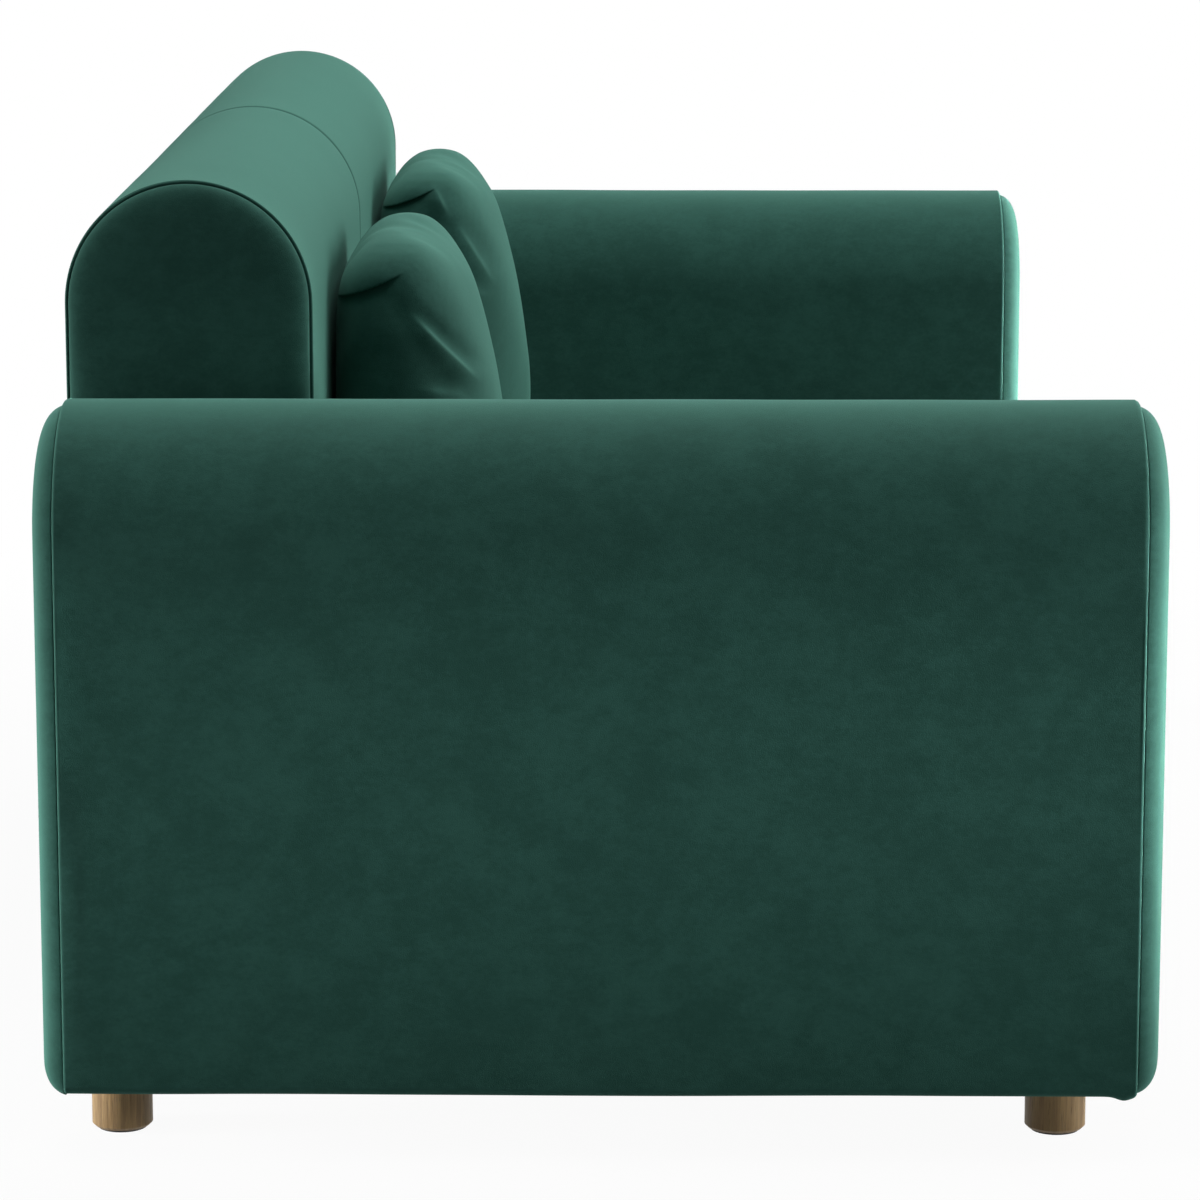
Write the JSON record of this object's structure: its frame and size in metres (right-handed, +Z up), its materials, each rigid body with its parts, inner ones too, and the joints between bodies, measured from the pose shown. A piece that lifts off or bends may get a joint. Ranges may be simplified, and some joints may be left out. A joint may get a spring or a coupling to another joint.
{
  "type": "two-seater sofa",
  "caption": "Low two-seater sofa in green velvet with arch-topped arms and back, padded end facings, loose seat and scatter cushions and short round oak legs.",
  "frame": {"origin": "on the floor below the middle of the sofa", "axes": "+X along the sofa to the right arm as seen from the front, +Y towards the back, +Z up"},
  "size_m": [1.78, 0.909, 0.772],
  "materials": {
    "velvet": "matte",
    "foam": "matte",
    "plywood": "matte",
    "timber": "matte",
    "hardboard": "matte",
    "webbing": "matte",
    "felt": "matte",
    "dust_cloth": "matte",
    "oak": "satin",
    "steel": "satin"
  },
  "bodies": {
    "frame": {"left_arm_ribs": "plywood", "left_arm_rails": "timber", "left_arm_bottom_board": "plywood", "left_arm_hardboard": "hardboard", "left_arm_foam": "foam", "left_arm_cover": "velvet", "left_arm_facing_boards": "plywood", "left_arm_facing_foams": "foam", "left_arm_front_facing_cover": "velvet", "left_arm_rear_facing_cover": "velvet", "back_foam_left": "foam", "back_cover_left": "velvet", "back_end_cover_left": "velvet", "base_left_rail": "timber", "leg_front_left": "oak", "leg_rear_left": "oak", "right_arm_ribs": "plywood", "right_arm_rails": "timber", "right_arm_bottom_board": "plywood", "right_arm_hardboard": "hardboard", "right_arm_foam": "foam", "right_arm_cover": "velvet", "right_arm_facing_boards": "plywood", "right_arm_facing_foams": "foam", "right_arm_front_facing_cover": "velvet", "right_arm_rear_facing_cover": "velvet", "back_foam_right": "foam", "back_cover_right": "velvet", "back_end_cover_right": "velvet", "base_right_rail": "timber", "leg_front_right": "oak", "leg_rear_right": "oak", "back_ribs": "plywood", "back_bottom_board": "plywood", "back_end_boards": "plywood", "back_rails": "timber", "base_front_rail": "timber", "base_rear_rail": "timber", "base_centre_rail": "timber", "base_corner_blocks": "timber", "back_hardboard": "hardboard", "back_end_foams": "foam", "seat_webbing": "webbing", "deck_felt": "felt", "border_foam": "foam", "border_cover": "velvet", "dust_cover": "dust_cloth", "leg_glides": "felt", "leg_bolts": "steel", "leg_tee_nuts": "steel", "frame_bolts": "steel", "frame_tee_nuts": "steel"},
    "seat_cushion_left": {"seat_cushion_left_foam": "foam", "seat_cushion_left_cover": "velvet"},
    "scatter_cushion_left": {"scatter_cushion_left_fill": "foam", "scatter_cushion_left_cover": "velvet"},
    "seat_cushion_right": {"seat_cushion_right_foam": "foam", "seat_cushion_right_cover": "velvet"},
    "scatter_cushion_right": {"scatter_cushion_right_fill": "foam", "scatter_cushion_right_cover": "velvet"}
  },
  "joints": [
    {"name": "seat_cushion_left_lift", "type": "slide", "parent": "frame", "child": "seat_cushion_left", "axis": [0, 0, 1], "range_m": [0, 0.45]},
    {"name": "scatter_cushion_left_lift", "type": "slide", "parent": "seat_cushion_left", "child": "scatter_cushion_left", "axis": [0, 0, 1], "range_m": [0, 0.4]},
    {"name": "seat_cushion_right_lift", "type": "slide", "parent": "frame", "child": "seat_cushion_right", "axis": [0, 0, 1], "range_m": [0, 0.45]},
    {"name": "scatter_cushion_right_lift", "type": "slide", "parent": "seat_cushion_right", "child": "scatter_cushion_right", "axis": [0, 0, 1], "range_m": [0, 0.4]}
  ]
}
